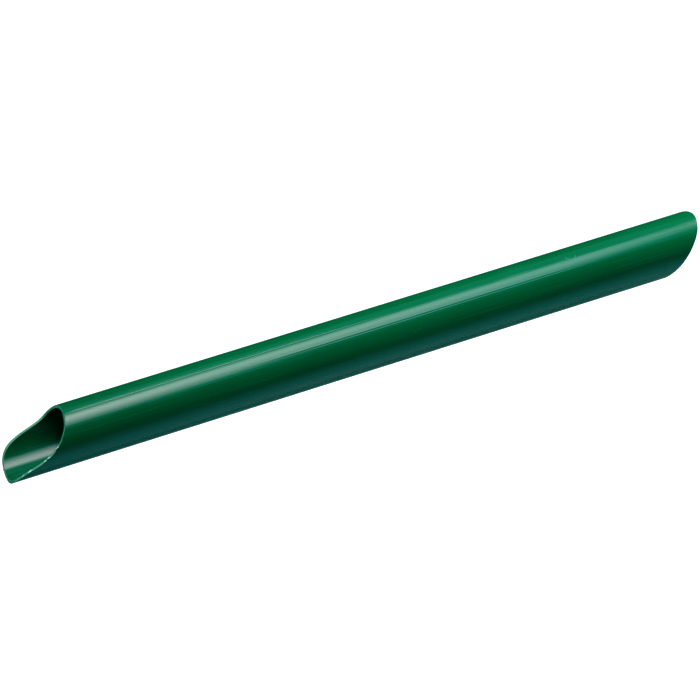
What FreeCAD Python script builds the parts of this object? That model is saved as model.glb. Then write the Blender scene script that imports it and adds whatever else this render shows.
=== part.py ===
import FreeCAD, Part
import math
import os

# Straight slide: one length of extruded plastic tube that things slide down.
# Row frame, in mm: origin on the tube's axis at half its overall length, +X from the
# scooped outlet to the mitred inlet, +Z away from the outlet's lip (the way its mouth opens).

# Tube
OVERALL_LENGTH = 1550.0     # tip of the lip to tip of the mitre
TUBE_OD = 125.0             # outside diameter
WALL = 6.0                  # wall thickness, the same all round

# Scooped outlet: side view of the cut, from the lip's blunt nose up to the heel
LIP_LENGTH = 141.0          # along the axis, from the nose to the heel on top of the tube
LIP_ANGLE = 22.3            # degrees between the axis and the straight run of the cut
NOSE_HEIGHT = 28.0          # where that straight run would meet the end of the lip
NOSE_RADIUS = 57.0          # convex arc that blunts the nose
SCOOP_RADIUS = 150.0        # concave arc from the straight run up to the heel

# Mitred inlet
MITRE_ANGLE = 50.0          # degrees between the axis and the flat cut

CUT_MARGIN = 40.0           # how far the cutting shapes run past the tube

OUTER_R = TUBE_OD / 2.0
BORE_R = OUTER_R - WALL
OUTLET_X = -OVERALL_LENGTH / 2.0
INLET_X = OVERALL_LENGTH / 2.0


def vec(x, z):
    """A point or direction in the side view, which is the plane y = 0."""
    return FreeCAD.Vector(x, 0.0, z)


def tube_blank():
    """The extruded tube before its ends are cut, with square ends."""
    start = FreeCAD.Vector(OUTLET_X, 0.0, 0.0)
    along = FreeCAD.Vector(1.0, 0.0, 0.0)
    outside = Part.makeCylinder(OUTER_R, OVERALL_LENGTH, start, along)
    bore_start = FreeCAD.Vector(OUTLET_X - CUT_MARGIN, 0.0, 0.0)
    bore = Part.makeCylinder(BORE_R, OVERALL_LENGTH + 2.0 * CUT_MARGIN, bore_start, along)
    return outside.cut(bore)


def scoop_arcs():
    """Centres and tangent points of the two arcs that join the scoop's straight run.

    The nose arc passes through the tip of the lip, the scoop arc passes through the heel,
    and both are tangent to the straight run, the nose arc from below and the other from above.
    """
    slope = math.radians(LIP_ANGLE)
    run = vec(math.cos(slope), math.sin(slope))
    normal = vec(-math.sin(slope), math.cos(slope))
    tip = vec(OUTLET_X, -OUTER_R)
    heel = vec(OUTLET_X + LIP_LENGTH, OUTER_R)
    run_start = tip + vec(0.0, NOSE_HEIGHT)

    tip_depth = NOSE_HEIGHT * math.cos(slope)
    nose_reach = math.sqrt(2.0 * NOSE_RADIUS * tip_depth - tip_depth ** 2)
    nose_tangent = run_start + run * (nose_reach - NOSE_HEIGHT * math.sin(slope))
    nose_centre = nose_tangent - normal * NOSE_RADIUS

    heel_from_run = heel - run_start
    heel_height = heel_from_run.dot(normal)
    heel_reach = math.sqrt(2.0 * SCOOP_RADIUS * heel_height - heel_height ** 2)
    scoop_tangent = run_start + run * (heel_from_run.dot(run) - heel_reach)
    scoop_centre = scoop_tangent + normal * SCOOP_RADIUS
    return tip, nose_centre, nose_tangent, scoop_tangent, scoop_centre, heel


def arc_between(centre, radius, start, end):
    """The shorter arc from start to end, as an edge."""
    middle = (start - centre).normalize() + (end - centre).normalize()
    through = centre + middle.normalize() * radius
    return Part.Arc(start, through, end).toShape()


def scoop_cutter():
    """Everything above the outlet's cut, as a block that runs right across the tube."""
    tip, nose_centre, nose_tangent, scoop_tangent, scoop_centre, heel = scoop_arcs()
    across = FreeCAD.Vector(0.0, 1.0, 0.0)
    down_off_tip = (tip - nose_centre).cross(across).normalize()
    up_off_heel = (heel - scoop_centre).cross(across).normalize()
    below = tip + down_off_tip * CUT_MARGIN
    above = heel + up_off_heel * CUT_MARGIN
    outer_x = OUTLET_X - 2.0 * CUT_MARGIN
    edges = [
        Part.makeLine(below, tip),
        arc_between(nose_centre, NOSE_RADIUS, tip, nose_tangent),
        Part.makeLine(nose_tangent, scoop_tangent),
        arc_between(scoop_centre, SCOOP_RADIUS, scoop_tangent, heel),
        Part.makeLine(heel, above),
        Part.makeLine(above, vec(outer_x, above.z)),
        Part.makeLine(vec(outer_x, above.z), vec(outer_x, below.z)),
        Part.makeLine(vec(outer_x, below.z), below),
    ]
    return across_the_tube(edges)


def mitre_cutter():
    """Everything below the inlet's flat cut, whose tip is at the top of the tube."""
    rise = math.tan(math.radians(MITRE_ANGLE))
    top_z = OUTER_R + CUT_MARGIN
    top = vec(INLET_X + CUT_MARGIN / rise, top_z)
    bottom = vec(INLET_X - (TUBE_OD + CUT_MARGIN) / rise, -top_z)
    outer_x = top.x + CUT_MARGIN
    corners = [bottom, top, vec(outer_x, top_z), vec(outer_x, -top_z), bottom]
    edges = [Part.makeLine(a, b) for a, b in zip(corners, corners[1:])]
    return across_the_tube(edges)


def across_the_tube(edges):
    """A closed side-view outline, extruded right across the tube."""
    half_width = OUTER_R + CUT_MARGIN
    face = Part.Face(Part.Wire(edges))
    face.translate(FreeCAD.Vector(0.0, -half_width, 0.0))
    return face.extrude(FreeCAD.Vector(0.0, 2.0 * half_width, 0.0))


def slide_tube():
    """The finished tube: the blank with both of its ends cut, left with sawn corners."""
    return tube_blank().cut(scoop_cutter()).cut(mitre_cutter()).Solids[0]


os.makedirs("parts", exist_ok=True)
slide_tube().exportStep("parts/slide_tube.step")
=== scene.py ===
import math

import bpy
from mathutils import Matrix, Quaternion, Vector, noise

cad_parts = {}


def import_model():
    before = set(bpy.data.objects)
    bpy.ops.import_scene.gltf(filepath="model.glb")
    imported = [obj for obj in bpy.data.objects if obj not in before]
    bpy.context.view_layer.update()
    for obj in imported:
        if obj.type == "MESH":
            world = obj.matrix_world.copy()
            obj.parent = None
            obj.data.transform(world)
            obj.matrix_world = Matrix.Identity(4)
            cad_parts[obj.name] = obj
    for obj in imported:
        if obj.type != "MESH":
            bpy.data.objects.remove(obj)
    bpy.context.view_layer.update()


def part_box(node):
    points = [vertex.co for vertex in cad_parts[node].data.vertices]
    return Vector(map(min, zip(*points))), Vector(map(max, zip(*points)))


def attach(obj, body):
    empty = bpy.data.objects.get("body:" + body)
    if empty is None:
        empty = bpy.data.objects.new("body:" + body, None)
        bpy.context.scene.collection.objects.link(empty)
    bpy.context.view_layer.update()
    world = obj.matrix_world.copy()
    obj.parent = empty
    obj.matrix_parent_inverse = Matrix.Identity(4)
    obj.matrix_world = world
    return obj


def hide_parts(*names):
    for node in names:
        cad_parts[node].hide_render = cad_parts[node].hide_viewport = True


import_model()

# ---------------------------------------------------------------- sizes, in metres, as the CAD has them
TUBE_LOW, TUBE_HIGH = (Vector(corner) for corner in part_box("slide_tube"))
OUTER_R = (TUBE_HIGH.z - TUBE_LOW.z) / 2
OUTLET_X = TUBE_LOW.x
INLET_X = TUBE_HIGH.x
WALL = 0.006
BORE_R = OUTER_R - WALL
LIP_LENGTH = 0.141
LIP_ANGLE = math.radians(22.3)
NOSE_HEIGHT = 0.028
NOSE_RADIUS = 0.057
SCOOP_RADIUS = 0.150
MITRE_ANGLE = math.radians(50.0)

# ---------------------------------------------------------------- what only the visual model has
# Angles round the tube run from the lip towards -Y, and from the lip towards +Y where they are negative.
CORNER_RADIUS = 0.0010      # the sawn corners are lightly rounded over
RELIEF_FADE = 0.02          # the skin's relief fades out this near to a sawn edge

DIE_LINE_ANGLE = math.radians(169.4)
DIE_LINE_WIDTH = 0.0011
DIE_LINE_HEIGHT = 0.00030
DIE_LINE_ENDS = (-0.15, 0.15)       # it fades out between these places along the tube
DIE_GROOVE_OFFSET = 1.9             # the groove beside the die line, in line widths
DIE_GROOVE_SHARE = 0.8              # its depth, as a share of the line's height
DRAW_LINES = [              # fainter lines: angle, width, height, start and end along the tube
    (math.radians(147.0), 0.0014, 0.00018, -0.20, 0.45),
    (math.radians(142.5), 0.0011, 0.00014, -0.10, 0.50),
    (math.radians(212.0), 0.0014, 0.00012, -0.70, 0.75),
    (math.radians(36.0), 0.0013, 0.00010, -0.60, 0.30),
]
DRAW_LINE_FADE = 0.06

SKIN_WAVES = (2.2, 6.0, 0.00005)    # waves round the tube, waves along it, height
SAW_WANDER = (3.0, 7.0, 0.0007)
SAW_RIPPLE = (22.0, 5.0, 0.00018)
SCOOP_STRAYS = [            # larger strays of the saw: angle, width, how far along the tube
    (math.radians(-99.0), math.radians(12.0), 0.0037),
    (math.radians(-79.0), math.radians(9.0), -0.0042),
    (math.radians(62.0), math.radians(14.0), 0.0050),
]
SAW_LEANS = [               # where the saw cut the inside further back: angle, width, how far
    (math.radians(-85.0), math.radians(45.0), 0.0018),
    (math.radians(-111.0), math.radians(16.0), 0.0020),
]
BURRS = [                   # curls left by the saw: angle, width, how far out
    (math.radians(-20.0), math.radians(1.6), 0.0008),
    (math.radians(63.0), math.radians(1.0), 0.0012),
    (math.radians(72.0), math.radians(1.7), 0.0034),
    (math.radians(87.5), math.radians(1.0), 0.0030),
    (math.radians(92.0), math.radians(1.6), 0.0044),
    (math.radians(107.0), math.radians(1.8), 0.0036),
]
BURR_SHOWS = 0.0010         # a burr taller than this shows the pale torn plastic

# ---------------------------------------------------------------- mesh density
AROUND = 360                # columns round the tube, before the extra ones at the die lines
FINE_COLUMNS = 12           # extra columns to each side of a die line
FINE_SHARE = 3              # they lie this many times closer
ALONG = 130                 # rows of the outer skin, from the outlet's cut to the inlet's cut
ALONG_BORE = 36             # rows of the bore, which is plain
RIM_STEPS = 6               # rows across the sawn face of the wall
CORNER_STEPS = 3            # rows over each rounded corner
SKIN, SAWN_FACE, TORN_FACE = 0, 1, 2    # material slots


def smooth_step(low, high, value):
    t = max(0.0, min(1.0, (value - low) / (high - low)))
    return t * t * (3 - 2 * t)


def bell(distance, width):
    return math.exp(-(distance / width) ** 2)


def turn_between(a, b):
    """Smallest signed turn from b to a."""
    return (a - b + math.pi) % (2 * math.pi) - math.pi


def along_tube(x, radius, angle):
    """A point of the tube; angle 0 is at the lip and a quarter turn is at -Y."""
    return Vector((x, -radius * math.sin(angle), -radius * math.cos(angle)))


# ---------------------------------------------------------------- the two cuts
class ScoopCut:
    """Side view of the outlet's cut: x along the tube for each height z."""

    def __init__(self):
        slope = LIP_ANGLE
        run = Vector((math.cos(slope), math.sin(slope)))
        normal = Vector((-math.sin(slope), math.cos(slope)))
        run_start = Vector((OUTLET_X, NOSE_HEIGHT - OUTER_R))
        tip_depth = NOSE_HEIGHT * math.cos(slope)
        nose_reach = math.sqrt(2 * NOSE_RADIUS * tip_depth - tip_depth ** 2)
        self.nose_tangent = run_start + run * (nose_reach - NOSE_HEIGHT * math.sin(slope))
        self.nose_centre = self.nose_tangent - normal * NOSE_RADIUS
        heel = Vector((OUTLET_X + LIP_LENGTH, OUTER_R)) - run_start
        heel_height = heel.dot(normal)
        heel_reach = math.sqrt(2 * SCOOP_RADIUS * heel_height - heel_height ** 2)
        self.scoop_tangent = run_start + run * (heel.dot(run) - heel_reach)
        self.scoop_centre = self.scoop_tangent + normal * SCOOP_RADIUS

    def x_at(self, z):
        if z < self.nose_tangent.y:
            rise = z - self.nose_centre.y
            return self.nose_centre.x - math.sqrt(NOSE_RADIUS ** 2 - rise ** 2)
        if z < self.scoop_tangent.y:
            return self.nose_tangent.x + (z - self.nose_tangent.y) / math.tan(LIP_ANGLE)
        drop = z - self.scoop_centre.y
        return self.scoop_centre.x + math.sqrt(SCOOP_RADIUS ** 2 - drop ** 2)


def mitre_x(z):
    return INLET_X - (OUTER_R - z) / math.tan(MITRE_ANGLE)


# ---------------------------------------------------------------- unevenness
def unevenness(angle, x, waves):
    around, along, size = waves
    return size * noise.noise(Vector((around * math.cos(angle), around * math.sin(angle), along * x)))


def hand_cut(angle, x):
    """How far a sawn edge wanders along the tube from the ideal cut."""
    return unevenness(angle, x, SAW_WANDER) + unevenness(angle, x, SAW_RIPPLE)


def bells(angle, places):
    """Sum of local swellings, each with its angle, width and size."""
    return sum(size * bell(turn_between(angle, at), width) for at, width, size in places)


def relief(angle, x):
    """Height of the outer skin above the true cylinder: die lines and a slight unevenness."""
    height = unevenness(angle, x, SKIN_WAVES)
    off = turn_between(angle, DIE_LINE_ANGLE) * OUTER_R
    line = bell(off, DIE_LINE_WIDTH)
    groove = bell(off - DIE_GROOVE_OFFSET * DIE_LINE_WIDTH, DIE_LINE_WIDTH)
    fade = 1.0 - smooth_step(*DIE_LINE_ENDS, x)
    height += DIE_LINE_HEIGHT * fade * (line - DIE_GROOVE_SHARE * groove)
    for at, width, tall, start, end in DRAW_LINES:
        off = turn_between(angle, at) * OUTER_R
        begun = smooth_step(start - DRAW_LINE_FADE, start + DRAW_LINE_FADE, x)
        ended = smooth_step(end - DRAW_LINE_FADE, end + DRAW_LINE_FADE, x)
        height += tall * (begun * (1.0 - ended)) * bell(off, width)
    return height


# ---------------------------------------------------------------- tube mesh
def column_angles():
    """Angles of the columns: even ones, with finer ones where a die line needs them."""
    step = 2 * math.pi / AROUND
    angles = {round(i * step, 6) for i in range(AROUND)}
    for at in [DIE_LINE_ANGLE] + [line[0] for line in DRAW_LINES]:
        for k in range(-FINE_COLUMNS, FINE_COLUMNS + 1):
            angles.add(round(at + k * step / FINE_SHARE, 6))
    return sorted(angles)


def corner_rows(before, corner, after):
    """Points over a rounded corner, from before to after, in the (x, radius) plane."""
    rows = []
    for i in range(CORNER_STEPS + 1):
        t = i / CORNER_STEPS
        rows.append(before * (1 - t) ** 2 + corner * (2 * t * (1 - t)) + after * t ** 2)
    return rows


def column(angle, scoop):
    """Closed loop of (x, radius) points round the wall at one angle, and the sawn rows of each end."""
    stray_out = hand_cut(angle, OUTLET_X) + bells(angle, SCOOP_STRAYS)
    stray_in = hand_cut(angle, INLET_X)
    inset = CORNER_RADIUS

    def outlet(radius):
        raised = bells(angle, BURRS) * smooth_step(BORE_R, OUTER_R, radius)
        leaned = bells(angle, SAW_LEANS) * (OUTER_R - radius) / WALL
        return scoop.x_at(-radius * math.cos(angle)) + stray_out + leaned - raised

    def inlet(radius):
        return mitre_x(-radius * math.cos(angle)) + stray_in

    def on(cut, radius):
        return Vector((cut(radius), radius))

    outer_a, outer_b = on(outlet, OUTER_R), on(inlet, OUTER_R)
    inner_a, inner_b = on(outlet, BORE_R), on(inlet, BORE_R)
    inward = Vector((inset, 0.0))
    face_depth = WALL - 2 * inset
    face_radii = [OUTER_R - inset - face_depth * i / RIM_STEPS for i in range(RIM_STEPS + 1)]

    loop = []
    start, end = outer_a.x + inset, outer_b.x - inset
    for i in range(ALONG + 1):
        x = start + (end - start) * i / ALONG
        edge_fade = smooth_step(0.0, RELIEF_FADE, min(x - start, end - x))
        loop.append(Vector((x, OUTER_R + relief(angle, x) * edge_fade)))
    loop += corner_rows(outer_b - inward, outer_b, on(inlet, face_radii[0]))[1:]
    sawn_b = len(loop) - 1
    loop += [on(inlet, r) for r in face_radii[1:]]
    loop += corner_rows(loop[-1], inner_b, inner_b - inward)[1:]
    after_b = len(loop) - 1
    start, end = inner_b.x - inset, inner_a.x + inset
    for i in range(1, ALONG_BORE + 1):
        x = start + (end - start) * i / ALONG_BORE
        loop.append(Vector((x, BORE_R)))
    before_a = len(loop) - 1
    loop += corner_rows(inner_a + inward, inner_a, on(outlet, face_radii[-1]))[1:]
    loop += [on(outlet, r) for r in reversed(face_radii[:-1])]
    sawn_a = len(loop) - 1
    loop += corner_rows(loop[-1], outer_a, outer_a + inward)[1:-1]
    return loop, range(sawn_b - 1, after_b), range(before_a, sawn_a + 1)


def tube_mesh():
    scoop = ScoopCut()
    angles = column_angles()
    vertices, faces, looks = [], [], []
    for angle in angles:
        loop, sawn_inlet, sawn_outlet = column(angle, scoop)
        vertices += [along_tube(p.x, p.y, angle) for p in loop]
    rows = len(loop)
    for j in range(len(angles)):
        a, b = j * rows, ((j + 1) % len(angles)) * rows
        torn = bells(angles[j], BURRS) > BURR_SHOWS
        for i in range(rows):
            k = (i + 1) % rows
            faces.append((a + i, a + k, b + k, b + i))
            if i in sawn_outlet and torn:
                looks.append(TORN_FACE)
            elif i in sawn_inlet or i in sawn_outlet:
                looks.append(SAWN_FACE)
            else:
                looks.append(SKIN)
    mesh = bpy.data.meshes.new("slide_tube_skin")
    mesh.from_pydata(vertices, [], faces)
    for polygon, look in zip(mesh.polygons, looks):
        polygon.use_smooth = True
        polygon.material_index = look
    mesh.validate()
    mesh.update()
    return mesh


# ---------------------------------------------------------------- materials
GREEN = (0.0024, 0.101, 0.033, 1.0)
GREEN_DEEP = (0.0020, 0.089, 0.0288, 1.0)
SCUFF = (0.030, 0.210, 0.120, 1.0)
SPECK = (0.002, 0.030, 0.014, 1.0)
SAWN = (0.055, 0.200, 0.105, 1.0)
SAWN_PALE = (0.115, 0.290, 0.180, 1.0)
TORN = (0.20, 0.52, 0.36, 1.0)
TORN_PALE = (0.42, 0.70, 0.56, 1.0)
PLASTIC_IOR = 1.5

# Scales of the stretched patterns, in 1/m: along the tube, and twice across it.
STREAKS = (2.0, 170.0, 170.0)
FINE_STREAKS = (5.0, 620.0, 620.0)
HAIRLINES = (4.0, 480.0, 480.0)
SAW_MARKS = (900.0, 160.0, 900.0)
# Scales of the even patterns, in 1/m.
CLOUDS = 9.0
ORANGE_PEEL = 260.0
SPECK_CELLS = 42.0
SAW_GRAIN = 700.0
TORN_COLOUR = 900.0
TORN_GRAIN = 1300.0
SCUFF_WOBBLE = 90.0
SCUFF_GAPS = 55.0

SPECK_CHOSEN = 0.93         # cells whose random number is above this hold a speck
SPECK_RADIUS = 0.028        # as a share of a cell
SCUFF_WIDTH = 0.0022
SCUFF_WANDER = 0.0022       # how far a rubbed arc strays from its circle
SCUFFS = [                  # rubbed arcs: place along the tube, angle round from the lip, radius
    (-0.520, math.radians(148.0), 0.011),
    (-0.300, math.radians(205.0), 0.016),
    (0.110, math.radians(128.0), 0.013),
    (0.480, math.radians(171.0), 0.010),
    (-0.060, math.radians(60.0), 0.018),
    (0.330, math.radians(318.0), 0.014),
]
# How strongly each kind of mark shows in the colour, and how much roughness it adds.
SPECK_SHOWS, SPECK_ROUGH = 0.8, 0.4
SCUFF_SHOWS, SCUFF_ROUGH = 0.30, 0.25
HAIRLINE_SHOWS, HAIRLINE_ROUGH = 0.16, 0.10
STREAK_SHARE, CLOUD_SHARE = 0.6, 0.4    # of the mix of the two greens


class Nodes:
    """Short calls for the nodes of a material, light or world."""

    def __init__(self, tree):
        self.tree = tree
        tree.nodes.clear()

    def add(self, kind, **settings):
        node = self.tree.nodes.new(kind)
        for key, value in settings.items():
            setattr(node, key, value)
        return node

    def link(self, source, target):
        self.tree.links.new(source, target)

    def math(self, operation, a, b=None):
        node = self.add("ShaderNodeMath", operation=operation)
        for slot, value in zip(node.inputs, (a, b)):
            if value is None:
                continue
            if isinstance(value, (int, float)):
                slot.default_value = value
            else:
                self.link(value, slot)
        return node.outputs[0]

    def stretched(self, scale):
        """Object coordinates, scaled differently along and across the tube."""
        place = self.add("ShaderNodeTexCoord").outputs["Object"]
        mapping = self.add("ShaderNodeMapping")
        mapping.inputs["Scale"].default_value = scale
        self.link(place, mapping.inputs["Vector"])
        return mapping.outputs[0]

    def noise(self, scale, detail, roughness):
        """Noise of one scale, or stretched where the scale has three numbers."""
        even = isinstance(scale, float)
        node = self.add("ShaderNodeTexNoise")
        node.inputs["Scale"].default_value = scale if even else 1.0
        node.inputs["Detail"].default_value = detail
        node.inputs["Roughness"].default_value = roughness
        self.link(self.stretched((1.0, 1.0, 1.0) if even else scale), node.inputs["Vector"])
        return node.outputs["Fac"]

    def remap(self, value, low, high, to_low, to_high):
        node = self.add("ShaderNodeMapRange")
        self.link(value, node.inputs["Value"])
        ends = (("From Min", low), ("From Max", high), ("To Min", to_low), ("To Max", to_high))
        for name, number in ends:
            node.inputs[name].default_value = number
        return node.outputs["Result"]

    def mix(self, factor, a, b):
        node = self.add("ShaderNodeMix", data_type="RGBA")
        for slot, value in ((node.inputs[0], factor), (node.inputs[6], a), (node.inputs[7], b)):
            if isinstance(value, (int, float, tuple)):
                slot.default_value = value
            else:
                self.link(value, slot)
        return node.outputs[2]

    def bump(self, height, strength, distance, normal=None):
        node = self.add("ShaderNodeBump")
        node.inputs["Strength"].default_value = strength
        node.inputs["Distance"].default_value = distance
        self.link(height, node.inputs["Height"])
        if normal is not None:
            self.link(normal, node.inputs["Normal"])
        return node.outputs["Normal"]

    def coloured(self, kind, colour, strength=None):
        """A shader of one colour, and of one strength where it gives light."""
        node = self.add(kind)
        node.inputs["Color"].default_value = colour
        if strength is not None:
            node.inputs["Strength"].default_value = strength
        return node

    def added(self, a, b):
        node = self.add("ShaderNodeAddShader")
        self.link(a.outputs[0], node.inputs[0])
        self.link(b.outputs[0], node.inputs[1])
        return node


def plastic(name):
    """A new material, its nodes and its shader."""
    material = bpy.data.materials.new(name)
    material.use_nodes = True
    n = Nodes(material.node_tree)
    shader = n.add("ShaderNodeBsdfPrincipled")
    n.link(shader.outputs[0], n.add("ShaderNodeOutputMaterial").inputs[0])
    shader.inputs["IOR"].default_value = PLASTIC_IOR
    return material, n, shader


def scuff_mask(n):
    """Thin broken rings, worn where something round knocked against the tube."""
    place = n.add("ShaderNodeTexCoord").outputs["Object"]
    uneven = n.remap(n.noise(SCUFF_WOBBLE, 1.0, 0.5), 0.3, 0.7, -SCUFF_WANDER, SCUFF_WANDER)
    mask = None
    for x, angle, radius in SCUFFS:
        apart = n.add("ShaderNodeVectorMath", operation="DISTANCE")
        n.link(place, apart.inputs[0])
        apart.inputs[1].default_value = along_tube(x, OUTER_R, angle)
        off_ring = n.math("ADD", n.math("SUBTRACT", apart.outputs["Value"], radius), uneven)
        off_ring = n.math("ABSOLUTE", off_ring)
        ring = n.remap(off_ring, 0.0, SCUFF_WIDTH, 1.0, 0.0)
        mask = ring if mask is None else n.math("MAXIMUM", mask, ring)
    broken = n.remap(n.noise(SCUFF_GAPS, 2.0, 0.6), 0.52, 0.72, 0.0, 1.0)
    return n.math("MULTIPLY", mask, broken)


def speck_mask(n):
    voronoi = n.add("ShaderNodeTexVoronoi", feature="F1")
    voronoi.inputs["Scale"].default_value = SPECK_CELLS
    n.link(n.stretched((1.0, 1.0, 1.0)), voronoi.inputs["Vector"])
    cell = n.add("ShaderNodeSeparateColor")
    n.link(voronoi.outputs["Color"], cell.inputs[0])
    chosen = n.math("GREATER_THAN", cell.outputs[0], SPECK_CHOSEN)
    near = n.math("LESS_THAN", voronoi.outputs["Distance"], SPECK_RADIUS)
    return n.math("MULTIPLY", chosen, near)


def glossy_plastic():
    material, n, shader = plastic("green_gloss_plastic")
    streaks = n.noise(STREAKS, 3.0, 0.55)
    fine_streaks = n.noise(FINE_STREAKS, 2.0, 0.5)
    clouds = n.noise(CLOUDS, 2.0, 0.5)
    hairlines = n.remap(n.noise(HAIRLINES, 1.0, 0.5), 0.63, 0.70, 0.0, 1.0)
    specks = speck_mask(n)
    scuffs = scuff_mask(n)

    tone = n.math("ADD", n.math("MULTIPLY", streaks, STREAK_SHARE), n.math("MULTIPLY", clouds, CLOUD_SHARE))
    colour = n.mix(n.remap(tone, 0.35, 0.65, 0.0, 1.0), GREEN_DEEP, GREEN)
    rough = n.math(
        "ADD",
        n.remap(fine_streaks, 0.3, 0.7, 0.0, 0.035),
        n.remap(clouds, 0.3, 0.7, 0.165, 0.205),
    )
    marks = (
        (specks, SPECK, SPECK_SHOWS, SPECK_ROUGH),
        (scuffs, SCUFF, SCUFF_SHOWS, SCUFF_ROUGH),
        (hairlines, SCUFF, HAIRLINE_SHOWS, HAIRLINE_ROUGH),
    )
    for mask, tint, shows, roughens in marks:
        colour = n.mix(n.math("MULTIPLY", mask, shows), colour, tint)
        rough = n.math("ADD", rough, n.math("MULTIPLY", mask, roughens))
    n.link(colour, shader.inputs["Base Color"])
    n.link(rough, shader.inputs["Roughness"])

    normal = n.bump(streaks, 0.10, 0.0004)
    normal = n.bump(fine_streaks, 0.12, 0.0002, normal)
    normal = n.bump(n.noise(ORANGE_PEEL, 1.0, 0.5), 0.06, 0.0002, normal)
    n.link(normal, shader.inputs["Normal"])
    return material


def sawn_plastic():
    material, n, shader = plastic("green_sawn_plastic")
    marks = n.noise(SAW_MARKS, 3.0, 0.6)
    grain = n.noise(SAW_GRAIN, 3.0, 0.6)
    n.link(n.mix(n.remap(marks, 0.35, 0.7, 0.0, 1.0), SAWN, SAWN_PALE), shader.inputs["Base Color"])
    n.link(n.remap(grain, 0.3, 0.7, 0.42, 0.62), shader.inputs["Roughness"])
    normal = n.bump(marks, 0.35, 0.0005)
    normal = n.bump(grain, 0.2, 0.0003, normal)
    n.link(normal, shader.inputs["Normal"])
    return material


def torn_plastic():
    """The stretched, whitened plastic of a burr."""
    material, n, shader = plastic("pale_torn_plastic")
    n.link(n.mix(n.noise(TORN_COLOUR, 2.0, 0.6), TORN, TORN_PALE), shader.inputs["Base Color"])
    shader.inputs["Roughness"].default_value = 0.55
    n.link(n.bump(n.noise(TORN_GRAIN, 2.0, 0.6), 0.3, 0.0003), shader.inputs["Normal"])
    return material


# ---------------------------------------------------------------- the piece
def slide_tube():
    tube = bpy.data.objects.new("slide_tube_skin", tube_mesh())
    bpy.context.scene.collection.objects.link(tube)
    for material in (glossy_plastic(), sawn_plastic(), torn_plastic()):     # as SKIN, SAWN_FACE, TORN_FACE
        tube.data.materials.append(material)
    weighted = tube.modifiers.new("WeightedNormal", "WEIGHTED_NORMAL")
    weighted.keep_sharp = True
    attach(tube, "root")
    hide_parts("slide_tube")
    return tube


# ---------------------------------------------------------------- studio
WHITE = (1.0, 1.0, 1.0, 1.0)
FLOOR_DROP = 0.32           # the slide is shown held up, clear of the floor
FLOOR_SIDE = 60.0
FLOOR_SEEN_GREY, FLOOR_SEEN_GLOW = 0.30, 0.95   # what the camera sees: white
FLOOR_OTHER_GREY = 0.50     # what lights the slide by bouncing
GLOW_TINT = (0.85, 1.0, 1.08, 1.0)      # painted reflection: the tint of a glow that the slide mirrors beside itself
GLOW_PEAK = 0.38
GLOW_RISE, GLOW_FALL = (0.08, 0.35), (0.45, 0.90)   # distances from the slide's line
BACK_SHADE = (-0.02, 0.12, 1.0, 0.20)   # painted shadow: the mirrored floor darkens between these two y, from and to
AIR_SEEN, AIR_OTHER = 1.0, 0.02


def light_path_mix(n, camera_shader, glossy_shader, other_shader):
    """One shader for camera rays, one for reflections and one for all other light."""
    path = n.add("ShaderNodeLightPath")
    inner = n.add("ShaderNodeMixShader")
    n.link(path.outputs["Is Glossy Ray"], inner.inputs[0])
    n.link(other_shader.outputs[0], inner.inputs[1])
    n.link(glossy_shader.outputs[0], inner.inputs[2])
    outer = n.add("ShaderNodeMixShader")
    n.link(path.outputs["Is Camera Ray"], outer.inputs[0])
    n.link(inner.outputs[0], outer.inputs[1])
    n.link(camera_shader.outputs[0], outer.inputs[2])
    return outer.outputs[0]


def floor():
    bpy.ops.mesh.primitive_plane_add(size=FLOOR_SIDE, location=(0.0, 0.0, TUBE_LOW.z - FLOOR_DROP))
    plane = bpy.context.object
    plane.name = "studio_floor"
    material = bpy.data.materials.new("studio_white")
    material.use_nodes = True
    n = Nodes(material.node_tree)

    def diffuse(grey):
        return n.coloured("ShaderNodeBsdfDiffuse", (grey, grey, grey, 1.0))

    seen = n.added(diffuse(FLOOR_SEEN_GREY), n.coloured("ShaderNodeEmission", WHITE, FLOOR_SEEN_GLOW))
    # Seen in reflections only: a painted glow beside the slide's line and a painted shadow behind it
    place = n.add("ShaderNodeSeparateXYZ")
    n.link(n.add("ShaderNodeNewGeometry").outputs["Position"], place.inputs[0])
    aside = n.math("ABSOLUTE", place.outputs[1])
    rise = n.remap(aside, *GLOW_RISE, 0.0, GLOW_PEAK)
    fall = n.remap(aside, *GLOW_FALL, 1.0, 0.0)
    glow = n.coloured("ShaderNodeEmission", GLOW_TINT, 1.0)
    n.link(n.math("MULTIPLY", rise, fall), glow.inputs["Strength"])
    mirrored_floor = diffuse(1.0)
    n.link(n.remap(place.outputs[1], *BACK_SHADE), mirrored_floor.inputs["Color"])
    mixed = light_path_mix(n, seen, n.added(mirrored_floor, glow), diffuse(FLOOR_OTHER_GREY))
    n.link(mixed, n.add("ShaderNodeOutputMaterial").inputs[0])
    plane.data.materials.append(material)


def world():
    sky = bpy.data.worlds.new("studio_air")
    sky.use_nodes = True
    n = Nodes(sky.node_tree)
    shaders = [n.coloured("ShaderNodeBackground", WHITE, level) for level in (AIR_SEEN, AIR_OTHER, AIR_OTHER)]
    n.link(light_path_mix(n, *shaders), n.add("ShaderNodeOutputWorld").inputs[0])
    bpy.context.scene.world = sky


SOFTBOX_PLACE = (0.34, -0.095, 1.30)
SOFTBOX_SIZE = (2.2, 1.30)
SOFTBOX_RADIANCE = 9.8
OUTLET_TINT = (1.0, 0.94, 1.0, 1.0)
INLET_TINT = (0.80, 1.0, 1.10, 1.0)
# The softbox's shares of its full brightness, over shares of its length (from the outlet) or width (from -Y).
ALONG_DIMS = (0.0, 0.76, 1.0, 0.58)
TAIL_DIMS = (0.78, 1.00, 1.0, 0.1)
FRONT_RISES = (0.0, 0.58, 0.02, 1.0)
BACK_DIMS = (0.76, 1.0, 1.0, 0.04)
COOLS = (0.15, 0.85, 0.0, 1.0)

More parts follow.
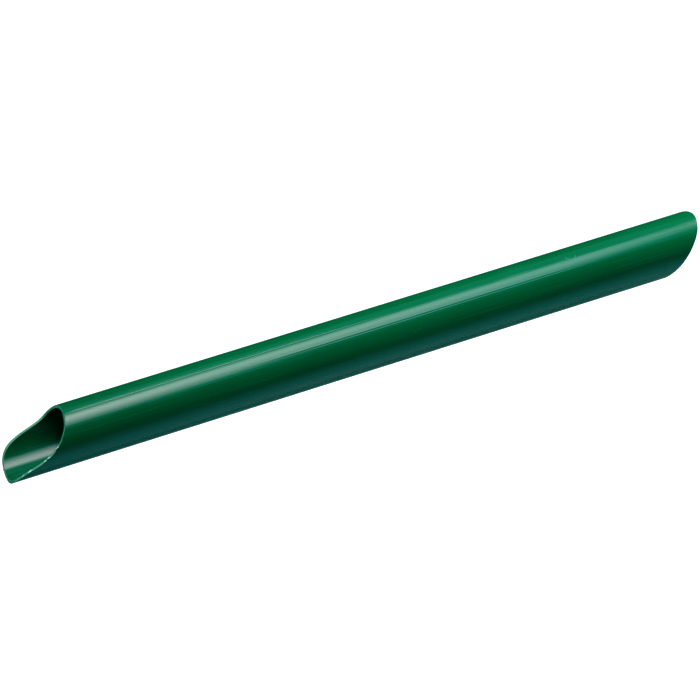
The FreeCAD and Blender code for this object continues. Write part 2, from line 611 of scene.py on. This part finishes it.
BACK_PANEL_PLACE = (0.34, 1.10, 1.30)
BACK_PANEL_SIZE = (2.2, 1.20)
BACK_PANEL_RADIANCE = 0.8
END_PANELS = [              # name, side, place, target, radiance; they light the slide alone
    ("inlet_end_panel", 0.7, (1.80, 0.30, 1.25), (0.7, 0.0, 0.0), 17.0),
    ("inlet_tip_panel", 0.16, (1.00, 0.0, 0.30), (0.775, 0.0, 0.03), 10.5),
    ("inlet_front_panel", 0.8, (2.40, -1.60, -0.12), (0.6, 0.0, 0.0), 8.0),
    ("outlet_end_panel", 0.7, (-1.95, 0.75, 1.30), (-0.7, 0.0, 0.0), 14.0),
]


def panel(name, size, place, target, radiance):
    """A soft rectangular panel, its length along X, that faces the target point."""
    data = bpy.data.lights.new(name, "AREA")
    data.shape = "RECTANGLE"
    data.size, data.size_y = size
    data.energy = radiance * math.pi * size[0] * size[1]
    light = bpy.data.objects.new(name, data)
    bpy.context.scene.collection.objects.link(light)
    light.location = place
    light.rotation_mode = "QUATERNION"
    light.rotation_quaternion = (Vector(target) - Vector(place)).to_track_quat("-Z", "Y")
    return light


def feather(light):
    """Dim a panel towards the inlet, where it is cooler too, and towards both long edges."""
    data = light.data
    data.use_nodes = True
    n = Nodes(data.node_tree)
    split = n.add("ShaderNodeSeparateXYZ")
    n.link(n.add("ShaderNodeNewGeometry").outputs["Parametric"], split.inputs[0])
    length, width = split.outputs[0], split.outputs[1]
    lengthwise = n.math("MULTIPLY", n.remap(length, *ALONG_DIMS), n.remap(length, *TAIL_DIMS))
    crosswise = n.math("MULTIPLY", n.remap(width, *FRONT_RISES), n.remap(width, *BACK_DIMS))
    emission = n.add("ShaderNodeEmission")
    n.link(n.math("MULTIPLY", lengthwise, crosswise), emission.inputs["Strength"])
    n.link(n.mix(n.remap(length, *COOLS), OUTLET_TINT, INLET_TINT), emission.inputs["Color"])
    n.link(emission.outputs[0], n.add("ShaderNodeOutputLight").inputs[0])


def only_on(light, piece):
    """Let a light reach the piece alone, and keep it out of the camera's sight."""
    chosen = bpy.data.collections.new(light.name + "_receivers")
    chosen.objects.link(piece)
    light.light_linking.receiver_collection = chosen
    light.visible_camera = False


def below(place):
    return (place[0], place[1], 0.0)


def lights(tube):
    feather(panel("overhead_softbox", SOFTBOX_SIZE, SOFTBOX_PLACE, below(SOFTBOX_PLACE), SOFTBOX_RADIANCE))
    panel("back_panel", BACK_PANEL_SIZE, BACK_PANEL_PLACE, below(BACK_PANEL_PLACE), BACK_PANEL_RADIANCE)
    for name, side, place, target, radiance in END_PANELS:
        only_on(panel(name, (side, side), place, target, radiance), tube)


VIEW_GAMMA = 0.85
RED_CURVE = ((0.058, 0.006), (0.15, 0.096))     # red level, and the level shown instead


def photo_colour():
    """No film look, and a red channel that starts late, as in the photograph."""
    settings = bpy.context.scene.view_settings
    settings.view_transform = "Standard"
    settings.gamma = VIEW_GAMMA
    settings.use_curve_mapping = True
    red = settings.curve_mapping.curves[0]
    for level, shown in RED_CURVE:
        red.points.new(level, shown)
    for point in red.points:
        point.handle_type = "VECTOR"
    settings.curve_mapping.update()


CAMERA_PLACE = Vector((-1.22121, -3.93365, 3.15686))
CAMERA_BACK = Vector((-0.231019, -0.757760, 0.610271))      # from what it looks at, towards the camera
CAMERA_ROLL = math.radians(-6.806)
CAMERA_LENS = 128.57        # millimetres
CAMERA_SENSOR = 36.0


def camera():
    data = bpy.data.cameras.new("photo_camera")
    data.sensor_width = CAMERA_SENSOR
    data.lens = CAMERA_LENS
    data.dof.use_dof = False
    cam = bpy.data.objects.new("photo_camera", data)
    bpy.context.scene.collection.objects.link(cam)
    cam.location = CAMERA_PLACE
    cam.rotation_mode = "QUATERNION"
    roll = Quaternion((0.0, 0.0, 1.0), CAMERA_ROLL)
    cam.rotation_quaternion = (-CAMERA_BACK).to_track_quat("-Z", "Y") @ roll
    bpy.context.scene.camera = cam


tube = slide_tube()
floor()
world()
lights(tube)
camera()
photo_colour()
